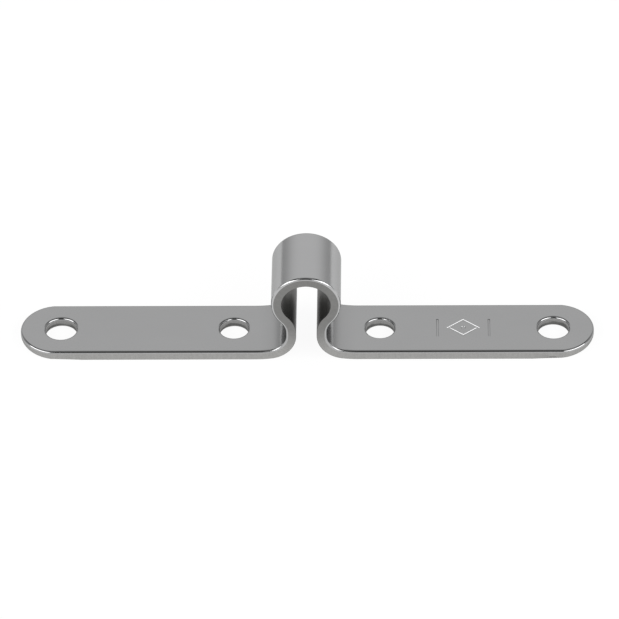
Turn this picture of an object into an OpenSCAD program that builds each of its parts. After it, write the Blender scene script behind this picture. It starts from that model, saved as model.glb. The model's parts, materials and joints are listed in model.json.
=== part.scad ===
// Strap eye of a lift-off pin hinge: one flat strip of stainless steel, pierced for
// four screws and bent into an omega, so that two flat wings carry an open eye.
// Origin: middle of the underside. +X along the wings, +Y along the eye, +Z up.

/* [Strip] */
// Overall length over both rounded ends
overall_length = 95.5; // [90:0.5:130]
// Width of the strip, which is also the length of the eye
strip_width = 12; // [10:0.5:14]
// Thickness of the strip
strip_thick = 1.7; // [1.2:0.1:2]
// How much larger the end radius is than half the strip's width
end_radius_extra = 0.05; // [0.05:0.05:0.5]

/* [Eye] */
// Inside diameter of the eye, a running fit on an 8 mm hinge pin
eye_d = 8.1; // [8:0.1:8.5]
// Height of the eye's axis over the face that the wings rest on
eye_height = 11.7; // [11.4:0.1:13]
// Width of the open neck under the eye
neck_gap = 3.4; // [3:0.1:4]
// Radius of the strip's middle line in the bend from wing to neck
bend_radius = 4; // [3.2:0.1:4]

/* [Lead-in] */
// Radius of the gentle curve in which the wing starts to rise
lead_radius = 18; // [12:1:20]
// How far the wing has turned when the tight bend begins, in degrees
lead_angle = 8; // [4:1:8]

/* [Screw holes] */
// Distance between the two outer holes
outer_pitch = 82; // [76:0.5:82]
// Diameter of the two outer holes, for M5 screws
outer_hole_d = 5.2; // [5:0.1:6]
// Distance between the two inner holes
inner_pitch = 24.3; // [24:0.1:40]
// Diameter of the two inner holes
inner_hole_d = 4.8; // [4:0.1:5]

/* [Hidden] */
$fn = 128;

half_thick = strip_thick / 2;
eye_radius = eye_d / 2 + half_thick;
end_radius = strip_width / 2 + end_radius_extra;
wing_end = overall_length / 2;
flat_end = wing_end - end_radius;

// The strip's middle line runs along the wing, up the lead-in curve, round the tight
// bend, straight up the neck, back out round the same bend and then over the eye.
bend_x = neck_gap / 2 + half_thick + bend_radius;
bend_z = half_thick + lead_radius - (lead_radius - bend_radius) * cos(lead_angle);
lead_x = bend_x + (lead_radius - bend_radius) * sin(lead_angle);
lead_z = half_thick + lead_radius;

// Angle below the horizontal at which the upper bend runs into the eye.
eye_angle = acos(bend_x / (eye_radius + bend_radius));
upper_bend_z = eye_height - (eye_radius + bend_radius) * sin(eye_angle);

// Steps in each curved stretch of the outline, and how far a cutter reaches past the steel.
lead_steps = 4;
bend_steps = 24;
upper_steps = 12;
eye_steps = 60;
cut_over = 1;

// The outline leaves this much steel inside the eye, which the round cutter then takes out.
// It crosses the cutter between these two angles, counted from where bend and eye meet.
eye_allowance = 0.15;
before_eye = 3;
into_eye = 6;

// Points along an arc about (x, z), from the angle a round to the angle b.
function arc(x, z, r, a, b, steps) = [
    for (k = [0:steps]) let (t = a + (b - a) * k / steps) [x + r * cos(t), z + r * sin(t)]
];

// One face of the +X leg, from the wing up to the eye, at a distance from the middle line.
function leg_face(side, last_angle) = concat(
    arc(lead_x, lead_z, lead_radius + side, 270, 270 - lead_angle, lead_steps),
    arc(bend_x, bend_z, bend_radius + side, 270 - lead_angle, 180, bend_steps),
    arc(bend_x, upper_bend_z, bend_radius + side, 180, last_angle, upper_steps)
);

function eye_face(radius, from) = arc(0, eye_height, radius, from, 180 - from, eye_steps);
function backwards(points) = [for (k = [len(points) - 1:-1:0]) points[k]];
function mirrored(points) = [for (p = backwards(points)) [-p.x, p.y]];

lower_face = leg_face(half_thick, 180 - eye_angle + before_eye);
upper_face = leg_face(-half_thick, 180 - eye_angle);

// Side view of the whole strip, in X and Z.
module bent_outline() {
    polygon(concat(
        [[wing_end, 0]],
        lower_face,
        eye_face(eye_d / 2 - eye_allowance, into_eye - eye_angle),
        mirrored(lower_face),
        [[-wing_end, 0], [-wing_end, strip_thick]],
        backwards(concat(
            upper_face,
            eye_face(eye_radius + half_thick, -eye_angle),
            mirrored(upper_face)
        )),
        [[wing_end, strip_thick]]
    ));
}

// Turns a side view drawn in X and Z into a solid of some width, centred on the strip.
module across_strip(width) {
    translate([0, width / 2, 0])
        rotate([90, 0, 0])
            linear_extrude(height = width)
                children();
}

// Everything that the rounded ends leave of a strip laid along X.
module rounded_ends() {
    linear_extrude(height = 2 * eye_height) {
        square([2 * flat_end, strip_width + 2 * cut_over], center = true);
        for (side = [-1, 1])
            translate([side * flat_end, 0])
                circle(r = end_radius);
    }
}

module screw_holes(pitch, d) {
    for (side = [-1, 1])
        translate([side * pitch / 2, 0, -cut_over])
            cylinder(d = d, h = strip_thick + 2 * cut_over);
}

module eye_bore() {
    across_strip(strip_width + 2 * cut_over)
        translate([0, eye_height])
            circle(d = eye_d);
}

module strap() {
    color("silver")
        difference() {
            intersection() {
                across_strip(strip_width)
                    bent_outline();
                translate([0, 0, -cut_over])
                    rounded_ends();
            }
            eye_bore();
            screw_holes(outer_pitch, outer_hole_d);
            screw_holes(inner_pitch, inner_hole_d);
        }
}

strap();
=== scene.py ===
"""Strap eye of a lift-off pin hinge, in polished stainless steel: its mesh, its finishes and its studio."""

import json
import math

import bmesh
import bpy
from bpy.props import FloatProperty, FloatVectorProperty, PointerProperty
from mathutils import Matrix, Vector


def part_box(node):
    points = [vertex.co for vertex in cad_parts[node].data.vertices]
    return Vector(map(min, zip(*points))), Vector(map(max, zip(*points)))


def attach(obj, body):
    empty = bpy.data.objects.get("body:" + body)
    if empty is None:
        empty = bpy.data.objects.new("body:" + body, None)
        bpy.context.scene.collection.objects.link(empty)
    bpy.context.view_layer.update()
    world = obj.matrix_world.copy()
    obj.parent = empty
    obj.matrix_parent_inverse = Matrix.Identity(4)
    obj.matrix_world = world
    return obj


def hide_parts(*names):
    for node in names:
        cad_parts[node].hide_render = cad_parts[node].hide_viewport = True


bl_info = {
    "name": "Strap eye",
    "version": (1, 0, 0),
    "blender": (4, 5, 0),
    "location": "View3D > Sidebar > Strap eye",
    "description": "Builds a bent strap eye for a pin hinge, with its finishes and its studio",
    "category": "Add Mesh",
}

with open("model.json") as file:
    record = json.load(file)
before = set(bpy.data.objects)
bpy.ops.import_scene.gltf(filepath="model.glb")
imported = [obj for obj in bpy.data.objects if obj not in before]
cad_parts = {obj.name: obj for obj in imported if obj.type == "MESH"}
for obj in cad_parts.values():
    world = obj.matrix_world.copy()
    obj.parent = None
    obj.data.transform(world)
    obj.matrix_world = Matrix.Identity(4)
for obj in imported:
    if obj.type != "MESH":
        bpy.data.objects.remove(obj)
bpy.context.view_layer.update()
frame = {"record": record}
MOUNTS = {m["name"]: m for m in frame["record"]["mounts"]}
STRAP_LOW, STRAP_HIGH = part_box("strap")

MM = 0.001
# Two heights that differ by less than this are the same.
TINY = 1e-6
# A cut runs through a vertex that lies closer to it than this.
CUT_REACH = 1e-7
# Width of the level margin beside each rounding, which keeps the shading of the flats even.
HEM = 0.03 * MM
# The cell of the blank in which a hole is punched reaches this many hole radii from its middle.
CELL = 1.4
# No screw hole reaches further than this from its own middle.
HOLE_REACH = 3 * MM
# The lozenge of the mark takes this share of the mark's length.
LOZENGE_SHARE = 0.62
OUTLINE_STEPS = 72
HOLE_SEGMENTS = 96
DOT_SEGMENTS = 24
ROUND_SEGMENTS = 6
RELIEF_STEPS = 8
FOLD_STEP = math.radians(2.5)
EYE_RADIUS = MOUNTS["pin_eye"]["dims"]["r_mm"] * MM
EYE_HEIGHT = MOUNTS["pin_eye"]["pos_m"][2]
UP = Vector((0, 0, 1))
# The underside's material index carries a colour that is partly painted shade for the inside of the eye.
POLISHED, SHEARED, MILLED_AND_SHADED, PUNCHED = 0, 1, 2, 3


class StrapEyeSizes(bpy.types.PropertyGroup):
    """Sizes of the strap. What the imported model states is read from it."""

    length: FloatProperty(
        name="Length", description="Overall length over both rounded ends",
        default=STRAP_HIGH.x - STRAP_LOW.x, subtype="DISTANCE", unit="LENGTH")
    width: FloatProperty(
        name="Width", description="Width of the strip",
        default=STRAP_HIGH.y - STRAP_LOW.y, subtype="DISTANCE", unit="LENGTH")
    thickness: FloatProperty(
        name="Thickness", description="Thickness of the strip",
        default=STRAP_HIGH.z - EYE_HEIGHT - EYE_RADIUS, subtype="DISTANCE", unit="LENGTH")
    end_radius_extra: FloatProperty(
        name="End radius extra", description="How much larger the end radius is than half the width",
        default=0.05 * MM, subtype="DISTANCE", unit="LENGTH")
    eye_radius: FloatProperty(
        name="Eye radius", description="Inside radius of the eye",
        default=EYE_RADIUS, subtype="DISTANCE", unit="LENGTH")
    eye_height: FloatProperty(
        name="Eye height", description="Height of the eye's axis over the underside",
        default=EYE_HEIGHT, subtype="DISTANCE", unit="LENGTH")
    neck_gap: FloatProperty(
        name="Neck gap", description="Width of the open neck under the eye",
        default=3.4 * MM, subtype="DISTANCE", unit="LENGTH")
    bend_radius: FloatProperty(
        name="Bend radius", description="Radius of the middle line in the bend from wing to neck",
        default=4 * MM, subtype="DISTANCE", unit="LENGTH")
    lead_radius: FloatProperty(
        name="Lead-in radius", description="Radius of the gentle curve in which the wing starts to rise",
        default=18 * MM, subtype="DISTANCE", unit="LENGTH")
    lead_angle: FloatProperty(
        name="Lead-in angle", description="How far the wing has turned when the tight bend begins",
        default=math.radians(8), subtype="ANGLE", unit="ROTATION")
    outer_hole: FloatProperty(
        name="Outer hole radius", description="Radius of the two outer screw holes",
        default=MOUNTS["outer_screws"]["dims"]["hole_r_mm"] * MM, subtype="DISTANCE", unit="LENGTH")
    outer_pitch: FloatProperty(
        name="Outer hole pitch", description="Distance between the two outer screw holes",
        default=MOUNTS["outer_screws"]["dims"]["spacing_x_mm"] * MM, subtype="DISTANCE", unit="LENGTH")
    inner_hole: FloatProperty(
        name="Inner hole radius", description="Radius of the two inner screw holes",
        default=MOUNTS["inner_screws"]["dims"]["hole_r_mm"] * MM, subtype="DISTANCE", unit="LENGTH")
    inner_pitch: FloatProperty(
        name="Inner hole pitch", description="Distance between the two inner screw holes",
        default=MOUNTS["inner_screws"]["dims"]["spacing_x_mm"] * MM, subtype="DISTANCE", unit="LENGTH")
    upper_round: FloatProperty(
        name="Upper edge rounding", description="Radius of the tumbled edges of the upper face",
        default=0.38 * MM, subtype="DISTANCE", unit="LENGTH")
    lower_round: FloatProperty(
        name="Lower edge rounding", description="Radius of the tumbled edges of the lower face",
        default=0.08 * MM, subtype="DISTANCE", unit="LENGTH")
    hole_round: FloatProperty(
        name="Hole edge rounding", description="Radius of the lower edges of the screw holes",
        default=0.2 * MM, subtype="DISTANCE", unit="LENGTH")
    end_relief: FloatProperty(
        name="End relief", description="Radius of the lower edge at the tips of the rounded ends",
        default=0.95 * MM, subtype="DISTANCE", unit="LENGTH")
    stamp_x: FloatProperty(
        name="Stamp place", description="Where the middle of the stamped mark lies on the right wing",
        default=26 * MM, subtype="DISTANCE", unit="LENGTH")
    stamp_length: FloatProperty(
        name="Stamp length", description="Length of the stamped mark",
        default=9 * MM, subtype="DISTANCE", unit="LENGTH")
    stamp_width: FloatProperty(
        name="Stamp width", description="Width of the stamped mark",
        default=4.4 * MM, subtype="DISTANCE", unit="LENGTH")
    stamp_stroke: FloatProperty(
        name="Stamp stroke", description="Width of the strokes of the stamped mark",
        default=0.42 * MM, subtype="DISTANCE", unit="LENGTH")
    stamp_depth: FloatProperty(
        name="Stamp depth", description="Depth of the stamped mark",
        default=0.05 * MM, subtype="DISTANCE", unit="LENGTH")


class StrapEyeFinish(bpy.types.PropertyGroup):
    """Colours of the steel."""

    polished: FloatVectorProperty(
        name="Polished steel", description="Colour of the polished faces",
        default=(0.42, 0.421, 0.423), subtype="COLOR", min=0, max=1, size=3)
    sheared: FloatVectorProperty(
        name="Sheared edge", description="Colour of the sheared edge all round the strip",
        default=(0.355, 0.353, 0.345), subtype="COLOR", min=0, max=1, size=3)
    # Partly the unbuffed underside's own tone, partly painted shade: this dark colour darkens the inside of
    # the eye and of the bends.
    milled_and_shaded: FloatVectorProperty(
        name="Milled underside", description="Colour of the underside, which no buffing wheel reaches",
        default=(0.185, 0.183, 0.178), subtype="COLOR", min=0, max=1, size=3)
    punched: FloatVectorProperty(
        name="Punched bore", description="Colour of the torn walls of the screw holes",
        default=(0.22, 0.219, 0.215), subtype="COLOR", min=0, max=1, size=3)


class StrapEyeStudio(bpy.types.PropertyGroup):
    """Camera and light of the studio."""

    elevation: FloatProperty(
        name="Elevation", description="Camera's angle above the horizon",
        default=math.radians(40.5), subtype="ANGLE", unit="ROTATION")
    azimuth: FloatProperty(
        name="Azimuth", description="Camera's turn about the vertical, from looking along +Y",
        default=math.radians(-1.3), subtype="ANGLE", unit="ROTATION")
    roll: FloatProperty(
        name="Roll", description="Camera's turn about its own line of sight",
        default=math.radians(-1.0), subtype="ANGLE", unit="ROTATION")
    distance: FloatProperty(
        name="Distance", description="Distance of the camera from the point it aims at",
        default=0.834, subtype="DISTANCE", unit="LENGTH")
    lens: FloatProperty(
        name="Lens", description="Focal length of the camera, in millimetres on a 36 mm sensor",
        default=290.8, subtype="NONE")
    aim_right: FloatProperty(
        name="Aim right", description="How far right of the origin the camera aims",
        default=0.38 * MM, subtype="DISTANCE", unit="LENGTH")
    aim_up: FloatProperty(
        name="Aim up", description="How far above the origin, in the picture, the camera aims",
        default=4.38 * MM, subtype="DISTANCE", unit="LENGTH")
    softbox: FloatProperty(
        name="Softbox radiance", description="Brightness of the two large softboxes",
        default=2.6, min=0)
    backdrop: FloatProperty(
        name="Backdrop radiance", description="Brightness of the backdrop behind the object",
        default=0.79, min=0)
    dark: FloatProperty(
        name="Dark radiance", description="Brightness of the gaps between the lit parts of the room",
        default=0.02, min=0)
    overhead: FloatProperty(
        name="Overhead radiance", description="Brightness of the backdrop where it reaches over the object",
        default=0.4, min=0)
    halo: FloatProperty(
        name="Halo radiance", description="Brightness of the walls round the softboxes",
        default=0.8, min=0)
    camera_side: FloatProperty(
        name="Camera side radiance", description="Brightness of the low wall behind the camera",
        default=0.25, min=0)
    table: FloatProperty(
        name="Table radiance", description="Brightness of the light table by itself",
        default=0.93, min=0)


class Bend:
    """Where each point of the flat blank goes when the strip is bent."""

    def __init__(self, sizes):
        self.half_thick = sizes.thickness / 2
        self.bend_radius = sizes.bend_radius
        self.lead_radius = sizes.lead_radius
        self.eye_height = sizes.eye_height
        self.eye_radius = sizes.eye_radius + self.half_thick
        self.neck_x = sizes.neck_gap / 2 + self.half_thick
        self.bend_x = self.neck_x + self.bend_radius
        widening = self.lead_radius - self.bend_radius
        self.bend_z = self.half_thick + self.lead_radius - widening * math.cos(sizes.lead_angle)
        self.lead_x = self.bend_x + widening * math.sin(sizes.lead_angle)
        reach = self.eye_radius + self.bend_radius
        self.eye_angle = math.acos(self.bend_x / reach)
        self.upper_z = sizes.eye_height - reach * math.sin(self.eye_angle)
        quarter = math.pi / 2
        self.stretches = [
            (self.over_eye, self.eye_radius * (quarter + self.eye_angle), quarter + self.eye_angle),
            (self.upper_bend, self.bend_radius * self.eye_angle, self.eye_angle),
            (self.neck, self.upper_z - self.bend_z, 0),
            (self.lower_bend, self.bend_radius * (quarter - sizes.lead_angle), quarter - sizes.lead_angle),
            (self.lead_in, self.lead_radius * sizes.lead_angle, sizes.lead_angle),
        ]
        self.developed = sum(length for _, length, _ in self.stretches)
        self.lead_angle = sizes.lead_angle

    def flat_x(self, x):
        """Where on the flat blank a place on the finished wing lies."""
        return self.developed + x - self.lead_x

    def over_eye(self, s, h):
        turn = s / self.eye_radius
        r = self.eye_radius + h
        return r * math.sin(turn), self.eye_height + r * math.cos(turn)

    def upper_bend(self, s, h):
        turn = math.pi - self.eye_angle + s / self.bend_radius
        r = self.bend_radius - h
        return self.bend_x + r * math.cos(turn), self.upper_z + r * math.sin(turn)

    def neck(self, s, h):
        return self.neck_x + h, self.upper_z - s

    def lower_bend(self, s, h):
        turn = math.pi + s / self.bend_radius
        r = self.bend_radius - h
        return self.bend_x + r * math.cos(turn), self.bend_z + r * math.sin(turn)

    def lead_in(self, s, h):
        turn = 1.5 * math.pi - self.lead_angle + s / self.lead_radius
        r = self.lead_radius - h
        return self.lead_x + r * math.cos(turn), self.half_thick + self.lead_radius + r * math.sin(turn)

    def place(self, point):
        """The bent place of a point of the blank, whose underside lies at height 0."""
        s, h = abs(point.x), point.z - self.half_thick
        for stretch, length, _ in self.stretches:
            if s < length:
                x, z = stretch(s, h)
                return Vector((math.copysign(x, point.x), point.y, z))
            s -= length
        return Vector((math.copysign(self.lead_x + s, point.x), point.y, point.z))

    def fold_lines(self, step):
        """Places across the blank, from its middle out, that split every curve into small turns."""
        lines, start = [0.0], 0.0
        for _, length, turn in self.stretches:
            parts = max(1, math.ceil(turn / step))
            lines += [start + length * (k + 1) / parts for k in range(parts)]
            start += length
        wing_hem = 0.1 * MM
        return lines + [start + wing_hem]


def arc(bm, centre, radius, start, sweep, steps):
    """An open arc of edges in the plane of the blank. Returns its first and last vertex."""
    first = bm.verts.new(centre + radius * Vector((math.cos(start), math.sin(start), 0)))
    spun = bmesh.ops.spin(bm, geom=[first], cent=centre, axis=UP, angle=sweep, steps=steps,
                          use_duplicate=False)
    last = [v for v in spun["geom_last"] if isinstance(v, bmesh.types.BMVert)][0]
    return first, last


def bar_outline(bm, length, width, radius, steps):
    """A closed outline with two straight sides and two arcs for ends. Returns its edges."""
    half_angle = math.asin(min(1.0, width / 2 / radius))
    reach = Vector((length / 2 - radius, 0, 0))
    right = arc(bm, reach, radius, -half_angle, 2 * half_angle, steps)
    left = arc(bm, -reach, radius, math.pi - half_angle, 2 * half_angle, steps)
    bm.edges.new((right[1], left[0]))
    bm.edges.new((left[1], right[0]))
    return bm.edges[:]


def cut_across(bm, x):
    """Adds edges straight across the whole strip at x."""
    bmesh.ops.bisect_plane(bm, geom=bm.verts[:] + bm.edges[:] + bm.faces[:], dist=CUT_REACH,
                           plane_co=(x, 0, 0), plane_no=(1, 0, 0))


def faces_at(bm, height):
    """The level faces at this height."""
    return [f for f in bm.faces if all(abs(v.co.z - height) < TINY for v in f.verts)]


def loop(bm, x, height, reach, segments, turn=0.0):
    """A closed loop of edges round a point of the blank. Returns its edges."""
    place = (Matrix.Translation((x, 0, height)) @ Matrix.Diagonal((*reach, 1, 1))
             @ Matrix.Rotation(turn, 4, "Z"))
    ring = bmesh.ops.create_circle(bm, cap_ends=False, segments=segments, radius=1, matrix=place)
    return list(dict.fromkeys(e for v in ring["verts"] for e in v.link_edges))


def fill(bm, edges):
    """Fills what these loops of edges enclose, outside their inner loops. Returns the new faces."""
    made = bmesh.ops.triangle_fill(bm, use_beauty=True, use_dissolve=False, edges=edges, normal=UP)
    return [f for f in made["geom"] if isinstance(f, bmesh.types.BMFace)]


def cell_at(bm, x, height):
    """The face whose middle is nearest to this place on the strip's middle line."""
    place = Vector((x, 0, height))
    return min(faces_at(bm, height), key=lambda f: (f.calc_center_bounds() - place).length)


def open_face(bm, face):
    """Removes a face and keeps its edges, which are returned."""
    edges = face.edges[:]
    bmesh.ops.delete(bm, geom=[face], context="FACES_ONLY")
    return edges


def punch(bm, x, radius):
    """Punches a round hole in the flat face that lies at x."""
    fill(bm, open_face(bm, cell_at(bm, x, 0)) + loop(bm, x, 0, (radius, radius), HOLE_SEGMENTS))


def stamp(bm, x, sizes):
    """Stamps a plain mark: a lozenge ring round a dot, between two bars."""
    height, stroke = sizes.thickness, sizes.stamp_stroke
    long, wide = sizes.stamp_length / 2, sizes.stamp_width / 2
    eighth_turn = math.radians(45)
    corner = math.sqrt(2)
    bar = (stroke / 2 * corner, wide * corner)
    lozenge = loop(bm, x, height, (LOZENGE_SHARE * long, wide), 4)
    bars = [loop(bm, x + side * (long - stroke / 2), height, bar, 4, eighth_turn) for side in (-1, 1)]
    fill(bm, open_face(bm, cell_at(bm, x, height)) + lozenge + bars[0] + bars[1])
    inside = bmesh.ops.dissolve_faces(bm, faces=fill(bm, lozenge))["region"]
    strokes = bmesh.ops.inset_region(bm, faces=inside, thickness=stroke,
                                     use_even_offset=True, use_boundary=True)["faces"]
    dot = loop(bm, x, height, (stroke, stroke), DOT_SEGMENTS)
    fill(bm, open_face(bm, inside[0]) + dot)
    for edges in (dot, *bars):
        strokes += fill(bm, edges)
    for thickness, depth in ((HEM, 0), (sizes.stamp_depth, -sizes.stamp_depth), (HEM, 0)):
        slopes = bmesh.ops.inset_region(bm, faces=strokes, thickness=thickness, depth=depth,
                                        use_even_offset=True, use_boundary=True)["faces"]
        for f in slopes:
            f.smooth = depth == 0


def is_level(face):
    """Whether a face lies nearer to level than to upright."""
    return abs(face.normal.z) > 0.5


def rims(bm, height):
    """The edges in which the faces at this height meet the walls."""
    return [e for e in bm.edges
            if all(abs(v.co.z - height) < TINY for v in e.verts)
            and is_level(e.link_faces[0]) != is_level(e.link_faces[1])]


def round_off(bm, edges, radius):
    """Rounds these edges to this radius."""
    bmesh.ops.bevel(bm, geom=edges, offset=radius, offset_type="OFFSET", segments=ROUND_SEGMENTS,
                    profile=0.5, affect="EDGES", clamp_overlap=False, material=-1)
    bm.normal_update()


def in_hole(place, sizes, bend):
    """Whether a place on a wall belongs to a screw hole and not to the outline."""
    outermost = bend.flat_x(sizes.outer_pitch / 2) + HOLE_REACH
    return abs(place.y) < HOLE_REACH and abs(place.x) < outermost


def relieve_ends(bm, sizes, bend):
    """Rounds the lower edge of both ends, slightly at their corners and most at their tips."""
    end_radius = sizes.width / 2 + sizes.end_radius_extra
    centre_x = bend.flat_x(sizes.length / 2) - end_radius
    outline_depth = 0.5 * MM
    corner_share = 0.4
    for k in range(1, RELIEF_STEPS + 1):
        height = sizes.end_relief * (1 - math.cos(k * math.pi / 2 / RELIEF_STEPS))
        walls = [f for f in bm.faces if not is_level(f) and abs(f.calc_center_median().x) > centre_x]
        edges = dict.fromkeys(e for f in walls for e in f.edges)
        verts = dict.fromkeys(v for f in walls for v in f.verts)
        bmesh.ops.bisect_plane(bm, geom=[*verts, *edges, *walls], dist=CUT_REACH,
                               plane_co=(0, 0, height), plane_no=UP)
    for v in bm.verts:
        out = Vector((abs(v.co.x) - centre_x, v.co.y, 0))
        if out.x > 0 and out.length > end_radius - outline_depth and v.co.z < sizes.end_relief:
            reach = sizes.end_relief * (corner_share + (1 - corner_share) * out.x / out.length)
            rise = min(v.co.z, reach)
            shift = reach - math.sqrt(reach ** 2 - (reach - rise) ** 2)
            v.co.x -= math.copysign(shift * out.x / out.length, v.co.x)
            v.co.y -= shift * out.y / out.length


def make_blank(bm, sizes, bend):
    """The strip as it is before bending: cut out, punched, and rounded at its rims."""
    end_radius = sizes.width / 2 + sizes.end_radius_extra
    half_length = bend.flat_x(sizes.length / 2)
    outline = bar_outline(bm, 2 * half_length, sizes.width, end_radius, OUTLINE_STEPS)
    bmesh.ops.contextual_create(bm, geom=outline)
    outer_x, inner_x = bend.flat_x(sizes.outer_pitch / 2), bend.flat_x(sizes.inner_pitch / 2)
    for side in (-1, 1):
        for x in (outer_x - CELL * sizes.outer_hole, inner_x + CELL * sizes.inner_hole,
                  inner_x - CELL * sizes.inner_hole):
            cut_across(bm, side * x)
    for side in (-1, 1):
        punch(bm, side * outer_x, sizes.outer_hole)
        punch(bm, side * inner_x, sizes.inner_hole)
    raised = bmesh.ops.extrude_face_region(bm, geom=bm.faces[:], use_keep_orig=True)
    top = [v for v in raised["geom"] if isinstance(v, bmesh.types.BMVert)]
    bmesh.ops.translate(bm, verts=top, vec=(0, 0, sizes.thickness))
    bmesh.ops.recalc_face_normals(bm, faces=bm.faces)
    for f in bm.faces:
        f.smooth = True
    for height, margin in ((sizes.thickness, sizes.upper_round), (0, sizes.hole_round)):
        bmesh.ops.inset_region(bm, faces=faces_at(bm, height), thickness=margin + HEM,
                               use_even_offset=True, use_boundary=True)
    round_off(bm, rims(bm, sizes.thickness), sizes.upper_round)
    for hole, radius in ((True, sizes.hole_round), (False, sizes.lower_round)):
        round_off(bm, [e for e in rims(bm, 0) if in_hole(e.verts[0].co, sizes, bend) == hole], radius)
    upright = 0.1
    for f in bm.faces:
        # Downward faces get the underside colour, whose darkness is partly painted shade inside the eye.
        f.material_index = POLISHED if f.normal.z > 0 else MILLED_AND_SHADED
        if abs(f.normal.z) < upright:
            f.material_index = SHEARED
    stamp(bm, bend.flat_x(sizes.stamp_x), sizes)
    walls = [f for f in bm.faces if f.material_index == SHEARED]
    bmesh.ops.inset_region(bm, faces=walls, thickness=HEM, use_even_offset=True, use_boundary=True)
    for f in walls:
        if in_hole(f.calc_center_median(), sizes, bend):
            f.material_index = PUNCHED
    relieve_ends(bm, sizes, bend)


def bend_blank(bm, bend):
    """Folds the blank over its fold lines, and keeps the flat place of each point for the finishes."""
    for line in bend.fold_lines(FOLD_STEP):
        cut_across(bm, line)
        if line > 0:
            cut_across(bm, -line)
    flat = bm.verts.layers.float_vector.new("blank")
    for v in bm.verts:
        v[flat] = v.co
        v.co = bend.place(v.co)


def new_metal(name, colour, roughness):
    """A metal with this plain colour and roughness, on which its finish then lays its patterns."""
    mat = bpy.data.materials.new(name)
    mat.use_nodes = True
    shader = mat.node_tree.nodes["Principled BSDF"]
    shader.inputs["Base Color"].default_value = (*colour, 1)
    shader.inputs["Metallic"].default_value = 1
    shader.inputs["Roughness"].default_value = roughness
    shader.inputs["Specular Tint"].default_value = (0.6, 0.6, 0.6, 1)
    return mat, mat.node_tree.nodes, mat.node_tree.links, shader


def from_middle(nodes, links, near, far, inner, outer):
    """A value near the middle of the strip that turns smoothly into another further out."""
    split = nodes.new("ShaderNodeSeparateXYZ")
    links.new(blank_place(nodes), split.inputs[0])
    reach = combine(nodes, links, "ABSOLUTE", split.outputs["X"], 0)
    return smooth_step(nodes, links, reach, inner, outer, near, far)


def blank_place(nodes):
    """The place of each point on the flat blank, so that a pattern follows the strip round its bends."""
    place = nodes.new("ShaderNodeAttribute")
    place.attribute_name = "blank"
    return place.outputs["Vector"]


def smooth_step(nodes, links, value, start, end, low=0.0, high=1.0):
    """A value that turns smoothly from low to high while another goes from start to end."""
    ramp = nodes.new("ShaderNodeMapRange")
    ramp.interpolation_type = "SMOOTHSTEP"
    ramp.inputs["From Min"].default_value, ramp.inputs["From Max"].default_value = start, end
    ramp.inputs["To Min"].default_value, ramp.inputs["To Max"].default_value = low, high
    links.new(value, ramp.inputs["Value"])
    return ramp.outputs[0]


def blank_noise(nodes, links, grain):
    """Noise laid on the flat blank, with grain features per metre along, across and through the strip."""
    stretch = nodes.new("ShaderNodeMapping")
    stretch.inputs["Scale"].default_value = grain
    noise = nodes.new("ShaderNodeTexNoise")
    noise.inputs["Scale"].default_value = 1
    noise.inputs["Detail"].default_value = 3
    links.new(blank_place(nodes), stretch.inputs["Vector"])
    links.new(stretch.outputs[0], noise.inputs["Vector"])
    return noise.outputs["Fac"]


def spread(nodes, links, value, low, high):
    """Maps a noise value, which mostly stays in the middle half, to the range from low to high."""
    ramp = nodes.new("ShaderNodeMapRange")
    ramp.inputs["From Min"].default_value, ramp.inputs["From Max"].default_value = 0.25, 0.75
    ramp.inputs["To Min"].default_value, ramp.inputs["To Max"].default_value = low, high
    links.new(value, ramp.inputs["Value"])
    return ramp.outputs[0]


def combine(nodes, links, operation, one, other):
    """Joins two values, each a socket or a plain number, by a Math node's operation."""
    node = nodes.new("ShaderNodeMath")
    node.operation = operation
    for socket, value in zip(node.inputs, (one, other)):
        if isinstance(value, (int, float)):
            socket.default_value = value
        else:
            links.new(value, socket)
    return node.outputs[0]


def tint(nodes, links, shader, colour, factor):
    """Scales the metal's colour by a factor that varies over the surface."""
    scale = nodes.new("ShaderNodeVectorMath")
    scale.operation = "SCALE"
    scale.inputs[0].default_value = colour
    links.new(factor, scale.inputs["Scale"])
    links.new(scale.outputs["Vector"], shader.inputs["Base Color"])


def relief(nodes, links, shader, height, depth):
    """Turns a value into fine relief of this depth in metres."""
    bump = nodes.new("ShaderNodeBump")
    bump.inputs["Strength"].default_value = 1
    bump.inputs["Distance"].default_value = depth
    links.new(height, bump.inputs["Height"])
    links.new(bump.outputs["Normal"], shader.inputs["Normal"])


def polished_steel(finish):
    """Buffed steel: hairlines along the strip, faint clouds, a softer gloss where it is bent, and a painted
    highlight that makes the colour lighter over the eye.
    """
    mat, nodes, links, shader = new_metal("polished_steel", finish.polished, 0.1)
    hairlines = blank_noise(nodes, links, (400, 9000, 9000))
    clouds = blank_noise(nodes, links, (120, 260, 260))
    bent = combine(nodes, links, "MULTIPLY", from_middle(nodes, links, 0, 1, 2 * MM, 5 * MM),
                   from_middle(nodes, links, 0.12, 0, 20 * MM, 24 * MM))
    gloss = combine(nodes, links, "ADD", spread(nodes, links, hairlines, 0.075, 0.105), bent)
    links.new(combine(nodes, links, "ADD", gloss, spread(nodes, links, clouds, 0, 0.03)),
              shader.inputs["Roughness"])
    # Painted highlight: the polished colour is made lighter over the eye and fades back to plain towards
    # the wings.
    painted_eye_highlight = from_middle(nodes, links, 1.14, 1, 8 * MM, 14 * MM)
    tint(nodes, links, shader, finish.polished,
         combine(nodes, links, "MULTIPLY", painted_eye_highlight, spread(nodes, links, clouds, 0.985, 1.015)))
    relief(nodes, links, shader, hairlines, 0.15e-6)
    return mat


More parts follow.
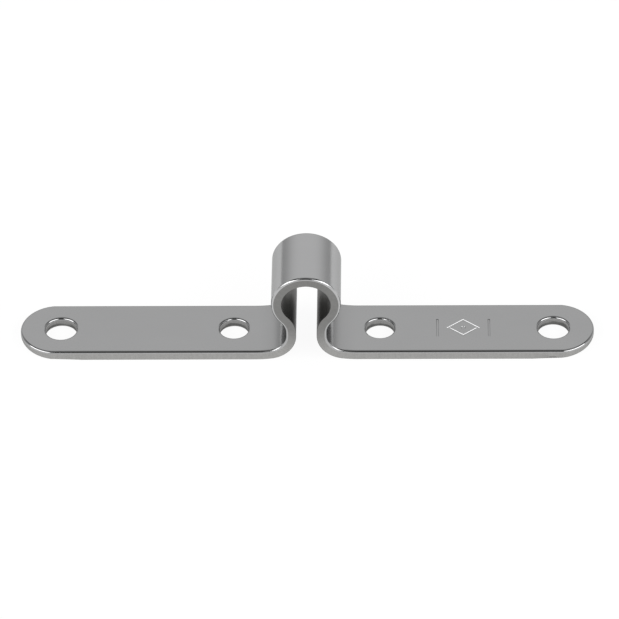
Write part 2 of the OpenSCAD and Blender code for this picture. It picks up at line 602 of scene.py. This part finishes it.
def sheared_steel(finish):
    """The cut edge: belt-ground on the wings, and left dull round the eye, where the belt can't reach."""
    mat, nodes, links, shader = new_metal("sheared_steel", finish.sheared, 0.4)
    grain = blank_noise(nodes, links, (6500, 6500, 600))
    mottle = blank_noise(nodes, links, (2600, 2600, 2600))
    links.new(spread(nodes, links, mottle, 0.32, 0.48), shader.inputs["Roughness"])
    dull = from_middle(nodes, links, 0.62, 1, 12.5 * MM, 19 * MM)
    texture = combine(nodes, links, "MULTIPLY", spread(nodes, links, grain, 0.92, 1.08),
                      spread(nodes, links, mottle, 0.92, 1.08))
    tint(nodes, links, shader, finish.sheared, combine(nodes, links, "MULTIPLY", texture, dull))
    relief(nodes, links, shader, grain, 3e-6)
    return mat


def milled_and_shaded_steel(finish):
    """The underside as it came from the mill: drawn lines along the strip. Its dark colour is partly the
    unbuffed steel's own tone and partly painted shade, which darkens the inside of the eye and of the
    bends.
    """
    mat, nodes, links, shader = new_metal("milled_and_shaded_steel", finish.milled_and_shaded, 0.35)
    drawn = blank_noise(nodes, links, (150, 6000, 6000))
    clouds = blank_noise(nodes, links, (200, 200, 200))
    links.new(spread(nodes, links, drawn, 0.3, 0.42), shader.inputs["Roughness"])
    tint(nodes, links, shader, finish.milled_and_shaded, spread(nodes, links, clouds, 0.88, 1.12))
    relief(nodes, links, shader, drawn, 1.5e-6)
    return mat


def punched_steel(finish):
    """The walls of the screw holes: smooth where the punch went in, and torn and dark below."""
    mat, nodes, links, shader = new_metal("punched_steel", finish.punched, 0.3)
    streaks = blank_noise(nodes, links, (7000, 7000, 400))
    waves = blank_noise(nodes, links, (500, 500, 1800))
    split = nodes.new("ShaderNodeSeparateXYZ")
    links.new(blank_place(nodes), split.inputs[0])
    wander = spread(nodes, links, waves, -0.3 * MM, 0.3 * MM)
    level = combine(nodes, links, "ADD", split.outputs["Z"], wander)
    torn = smooth_step(nodes, links, level, 0.5 * MM, 0.9 * MM, 0.5, 1.15)
    links.new(spread(nodes, links, streaks, 0.22, 0.4), shader.inputs["Roughness"])
    tint(nodes, links, shader, finish.punched,
         combine(nodes, links, "MULTIPLY", torn, spread(nodes, links, streaks, 0.85, 1.15)))
    relief(nodes, links, shader, streaks, 5e-6)
    return mat


class STRAPEYE_OT_strap(bpy.types.Operator):
    """Build the bent strap, rounded, pierced and stamped"""

    bl_idname = "strapeye.strap"
    bl_label = "Bent strap"

    def execute(self, context):
        sizes = context.scene.strap_eye_sizes
        finish = context.scene.strap_eye_finish
        bend = Bend(sizes)
        bm = bmesh.new()
        make_blank(bm, sizes, bend)
        bend_blank(bm, bend)
        mesh = bpy.data.meshes.new("bent_strap")
        bm.to_mesh(mesh)
        bm.free()
        for make in (polished_steel, sheared_steel, milled_and_shaded_steel, punched_steel):
            mesh.materials.append(make(finish))
        strap = bpy.data.objects.new("bent_strap", mesh)
        context.scene.collection.objects.link(strap)
        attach(strap, "root")
        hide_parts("strap")
        return {"FINISHED"}


def direction(azimuth, elevation):
    """Unit vector from the object, with azimuth counted from the camera's side towards +X."""
    flat = math.cos(elevation)
    return Vector((math.sin(azimuth) * flat, -math.cos(azimuth) * flat, math.sin(elevation)))


def add_softbox(name, azimuth, elevation, distance, size, radiance):
    """A rectangular light that faces the object, with its power set from its radiance."""
    light = bpy.data.lights.new(name, "AREA")
    light.shape = "RECTANGLE"
    light.size, light.size_y = size
    light.energy = radiance * math.pi * size[0] * size[1]
    box = bpy.data.objects.new(name, light)
    box.location = direction(azimuth, elevation) * distance
    box.rotation_mode = "QUATERNION"
    box.rotation_quaternion = direction(azimuth, elevation).to_track_quat("Z", "Y")
    bpy.context.scene.collection.objects.link(box)


def make_world(studio):
    """A pale backdrop, glowing side walls, and dimmer light overhead and behind the camera.

    The metal reflects all of this. Seen directly, the backdrop is plain white.
    """
    world = bpy.data.worlds.new("studio")
    bpy.context.scene.world = world
    world.use_nodes = True
    nodes, links = world.node_tree.nodes, world.node_tree.links

    def step(value, start, end, low=0.0, high=1.0):
        return smooth_step(nodes, links, value, start, end, low, high)

    def join(operation, one, other):
        return combine(nodes, links, operation, one, other)

    coord = nodes.new("ShaderNodeTexCoord")
    split = nodes.new("ShaderNodeSeparateXYZ")
    links.new(coord.outputs["Generated"], split.inputs[0])
    back, up = split.outputs["Y"], split.outputs["Z"]
    aside = join("ABSOLUTE", split.outputs["X"], 0)
    overhead = join("MULTIPLY", step(back, -0.15, 0.05), step(aside, 0.5, 0.25))
    pale = join("MULTIPLY", step(back, 0.5, 0.72), step(up, 0.1, 0.62, 0.64, 1))
    wall = join("MULTIPLY", step(aside, 0.3, 0.6), step(up, 0.85, 0.55))
    halo = join("MULTIPLY", wall, step(back, 0.25, -0.1, 0.55, 1))
    camera_side = join("MULTIPLY", step(back, -0.66, -0.84), step(aside, 0.45, 0.25))
    strength = join("MAXIMUM", join("MULTIPLY", pale, studio.backdrop),
                    join("MULTIPLY", overhead, studio.overhead))
    strength = join("MAXIMUM", strength, join("MULTIPLY", halo, studio.halo))
    strength = join("MAXIMUM", strength, join("MULTIPLY", camera_side, studio.camera_side))
    strength = join("ADD", strength, studio.dark)
    path = nodes.new("ShaderNodeLightPath")
    seen = nodes.new("ShaderNodeMix")
    links.new(path.outputs["Is Camera Ray"], seen.inputs["Factor"])
    links.new(strength, seen.inputs["A"])
    seen.inputs["B"].default_value = 1
    links.new(seen.outputs["Result"], nodes["Background"].inputs["Strength"])
    nodes["Background"].inputs["Color"].default_value = (1, 1, 1, 1)


def make_floor(studio):
    """A light table: white opal glass that is lit from below, so that shadows stay faint."""
    table_radius = 3
    bm = bmesh.new()
    bmesh.ops.create_circle(bm, cap_ends=True, segments=96, radius=table_radius)
    mesh = bpy.data.meshes.new("floor")
    bm.to_mesh(mesh)
    bm.free()
    mat = bpy.data.materials.new("opal_glass")
    mat.use_nodes = True
    shader = mat.node_tree.nodes["Principled BSDF"]
    shader.inputs["Base Color"].default_value = (0.1, 0.1, 0.1, 1)
    shader.inputs["Roughness"].default_value = 1
    shader.inputs["Specular IOR Level"].default_value = 0
    shader.inputs["Emission Color"].default_value = (1, 1, 1, 1)
    shader.inputs["Emission Strength"].default_value = studio.table
    mesh.materials.append(mat)
    floor = bpy.data.objects.new("floor", mesh)
    bpy.context.scene.collection.objects.link(floor)


def make_camera(studio):
    """A long lens that looks down at the front of the strap."""
    line = -direction(-studio.azimuth, studio.elevation)
    right = line.cross(UP).normalized()
    above = right.cross(line)
    turn = Matrix.Rotation(-studio.roll, 3, line)
    right, above = turn @ right, turn @ above
    data = bpy.data.cameras.new("camera")
    data.lens = studio.lens
    data.clip_start, data.clip_end = 0.01, 10
    camera = bpy.data.objects.new("camera", data)
    place = right * studio.aim_right + above * studio.aim_up - line * studio.distance
    camera.matrix_world = Matrix.Translation(place) @ Matrix((right, above, -line)).transposed().to_4x4()
    bpy.context.scene.collection.objects.link(camera)
    bpy.context.scene.camera = camera


class STRAPEYE_OT_studio(bpy.types.Operator):
    """Set up the floor, the soft light and the camera"""

    bl_idname = "strapeye.studio"
    bl_label = "Studio"

    def execute(self, context):
        studio = context.scene.strap_eye_studio
        make_floor(studio)
        make_world(studio)
        azimuth, elevation = math.radians(54), math.radians(34)
        distance, size = 1.5, (1.7, 0.8)
        for side, name in ((-1, "softbox_left"), (1, "softbox_right")):
            add_softbox(name, side * azimuth, elevation, distance, size, studio.softbox)
        make_camera(studio)
        context.scene.view_settings.view_transform = "Standard"
        return {"FINISHED"}


class STRAPEYE_PT_panel(bpy.types.Panel):
    """Sizes, finish and studio of the strap eye"""

    bl_idname = "STRAPEYE_PT_panel"
    bl_label = "Strap eye"
    bl_space_type = "VIEW_3D"
    bl_region_type = "UI"
    bl_category = "Strap eye"

    def draw(self, context):
        scene = context.scene
        for group in (scene.strap_eye_sizes, scene.strap_eye_finish, scene.strap_eye_studio):
            box = self.layout.box()
            for name in group.__annotations__:
                box.prop(group, name)
        self.layout.operator(STRAPEYE_OT_strap.bl_idname)
        self.layout.operator(STRAPEYE_OT_studio.bl_idname)


CLASSES = (
    StrapEyeSizes,
    StrapEyeFinish,
    StrapEyeStudio,
    STRAPEYE_OT_strap,
    STRAPEYE_OT_studio,
    STRAPEYE_PT_panel,
)
GROUPS = {
    "strap_eye_sizes": StrapEyeSizes,
    "strap_eye_finish": StrapEyeFinish,
    "strap_eye_studio": StrapEyeStudio,
}


def register():
    for cls in CLASSES:
        bpy.utils.register_class(cls)
    for name, cls in GROUPS.items():
        setattr(bpy.types.Scene, name, PointerProperty(type=cls))


def unregister():
    for name in GROUPS:
        delattr(bpy.types.Scene, name)
    for cls in reversed(CLASSES):
        bpy.utils.unregister_class(cls)


def main():
    register()
    bpy.ops.strapeye.strap()
    bpy.ops.strapeye.studio()


if __name__ == "__main__":
    main()
